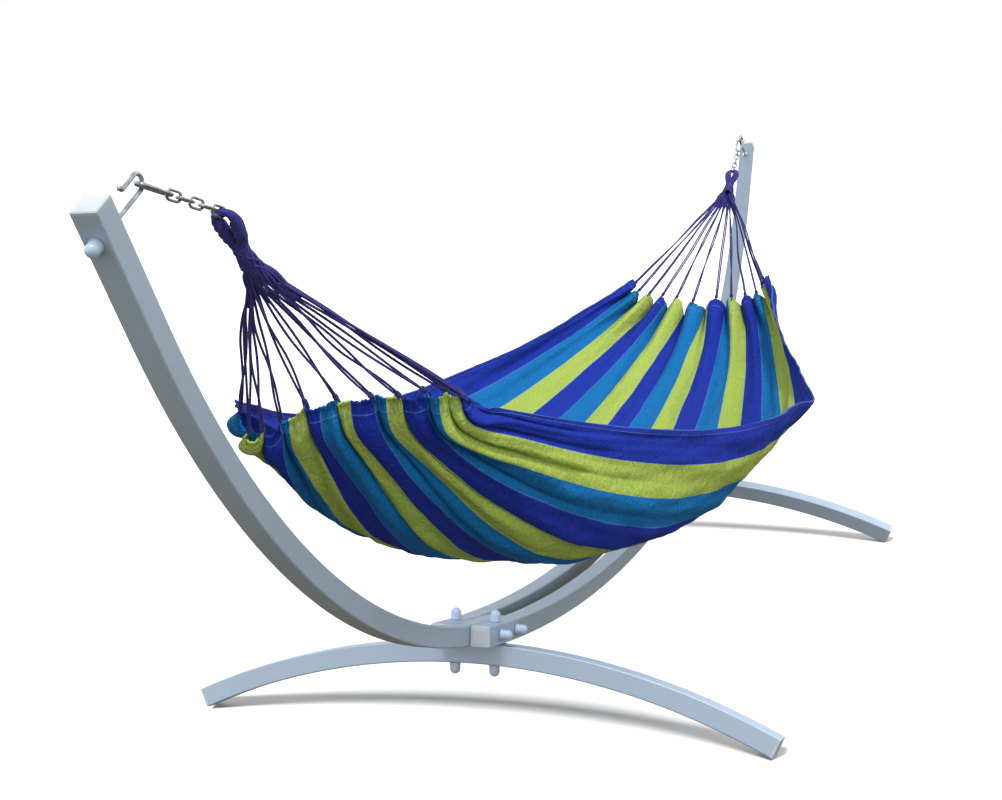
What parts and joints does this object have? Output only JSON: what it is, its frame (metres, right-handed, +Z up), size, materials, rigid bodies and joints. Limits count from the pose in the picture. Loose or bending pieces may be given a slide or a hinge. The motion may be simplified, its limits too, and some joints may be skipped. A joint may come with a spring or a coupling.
{
  "type": "hammock on stand",
  "caption": "Gathered-end cloth hammock hung on snap hooks and chain between the tips of a free-standing arched steel tube stand with two bowed feet.",
  "frame": {"origin": "on the floor, under the middle of the stand", "axes": "+X runs along the hammock from the near tip to the far tip, +Y across it to the left, +Z up"},
  "size_m": [3.584, 1.143, 1.0537],
  "materials": {
    "painted_tube": "satin silver-blue powder coat",
    "end_cap_plastic": "smooth moulded",
    "nut_cover_plastic": "soft gloss",
    "zinc_hardware": "bright zinc plated",
    "spring_steel": "dull",
    "hammock_cord": "twisted cotton cord",
    "striped_cotton": "woven cotton in lengthwise blue, turquoise and green stripes"
  },
  "bodies": {
    "stand": {"near_foot": "painted_tube", "far_foot": "painted_tube", "left_beam": "painted_tube", "right_beam": "painted_tube", "near_arch": "painted_tube", "far_arch": "painted_tube", "near_foot_end_caps": "end_cap_plastic", "far_foot_end_caps": "end_cap_plastic", "left_beam_end_caps": "end_cap_plastic", "right_beam_end_caps": "end_cap_plastic", "near_tip_cap": "end_cap_plastic", "far_tip_cap": "end_cap_plastic", "near_arch_tail_plug": "end_cap_plastic", "far_arch_tail_plug": "end_cap_plastic", "near_foot_bolts": "zinc_hardware", "far_foot_bolts": "zinc_hardware", "near_clamp_bolts": "zinc_hardware", "far_clamp_bolts": "zinc_hardware", "near_foot_nuts": "zinc_hardware", "far_foot_nuts": "zinc_hardware", "near_clamp_nuts": "zinc_hardware", "far_clamp_nuts": "zinc_hardware", "near_foot_washers": "zinc_hardware", "far_foot_washers": "zinc_hardware", "near_clamp_washers": "zinc_hardware", "far_clamp_washers": "zinc_hardware", "near_foot_bolt_covers": "nut_cover_plastic", "far_foot_bolt_covers": "nut_cover_plastic", "near_clamp_bolt_covers": "nut_cover_plastic", "far_clamp_bolt_covers": "nut_cover_plastic", "near_hook_bolt": "zinc_hardware", "far_hook_bolt": "zinc_hardware", "near_hook_nuts": "zinc_hardware", "far_hook_nuts": "zinc_hardware", "near_hook_washers": "zinc_hardware", "far_hook_washers": "zinc_hardware", "near_hook_nut_cover": "nut_cover_plastic", "far_hook_nut_cover": "nut_cover_plastic"},
    "hammock": {"near_snap_hook": "zinc_hardware", "far_snap_hook": "zinc_hardware", "near_gate_rivet": "spring_steel", "far_gate_rivet": "spring_steel", "near_chain": "zinc_hardware", "far_chain": "zinc_hardware", "near_rope_eye": "hammock_cord", "far_rope_eye": "hammock_cord", "near_whipping": "hammock_cord", "far_whipping": "hammock_cord", "near_cords": "hammock_cord", "far_cords": "hammock_cord", "hammock_cloth": "striped_cotton"},
    "near_gate": {"near_snap_gate": "zinc_hardware", "near_gate_spring": "spring_steel"},
    "far_gate": {"far_snap_gate": "zinc_hardware", "far_gate_spring": "spring_steel"}
  },
  "joints": [
    {"name": "hammock_swing", "type": "hinge", "parent": "stand", "child": "hammock", "pos_m": [0, 0, 1.03485], "axis": [1, 0, -0.001], "range_deg": [-22, 22]},
    {"name": "near_gate_hinge", "type": "hinge", "parent": "hammock", "child": "near_gate", "pos_m": [-1.6344, 0.00148, 1.02806], "axis": [0.2515, -0.1872, 0.9496], "range_deg": [0, 22], "stiffness_Nm_per_rad": 0.05},
    {"name": "far_gate_hinge", "type": "hinge", "parent": "hammock", "child": "far_gate", "pos_m": [1.64327, -0.00741, 1.01208], "axis": [-0.5965, -0.1392, 0.7905], "range_deg": [0, 22], "stiffness_Nm_per_rad": 0.05}
  ]
}
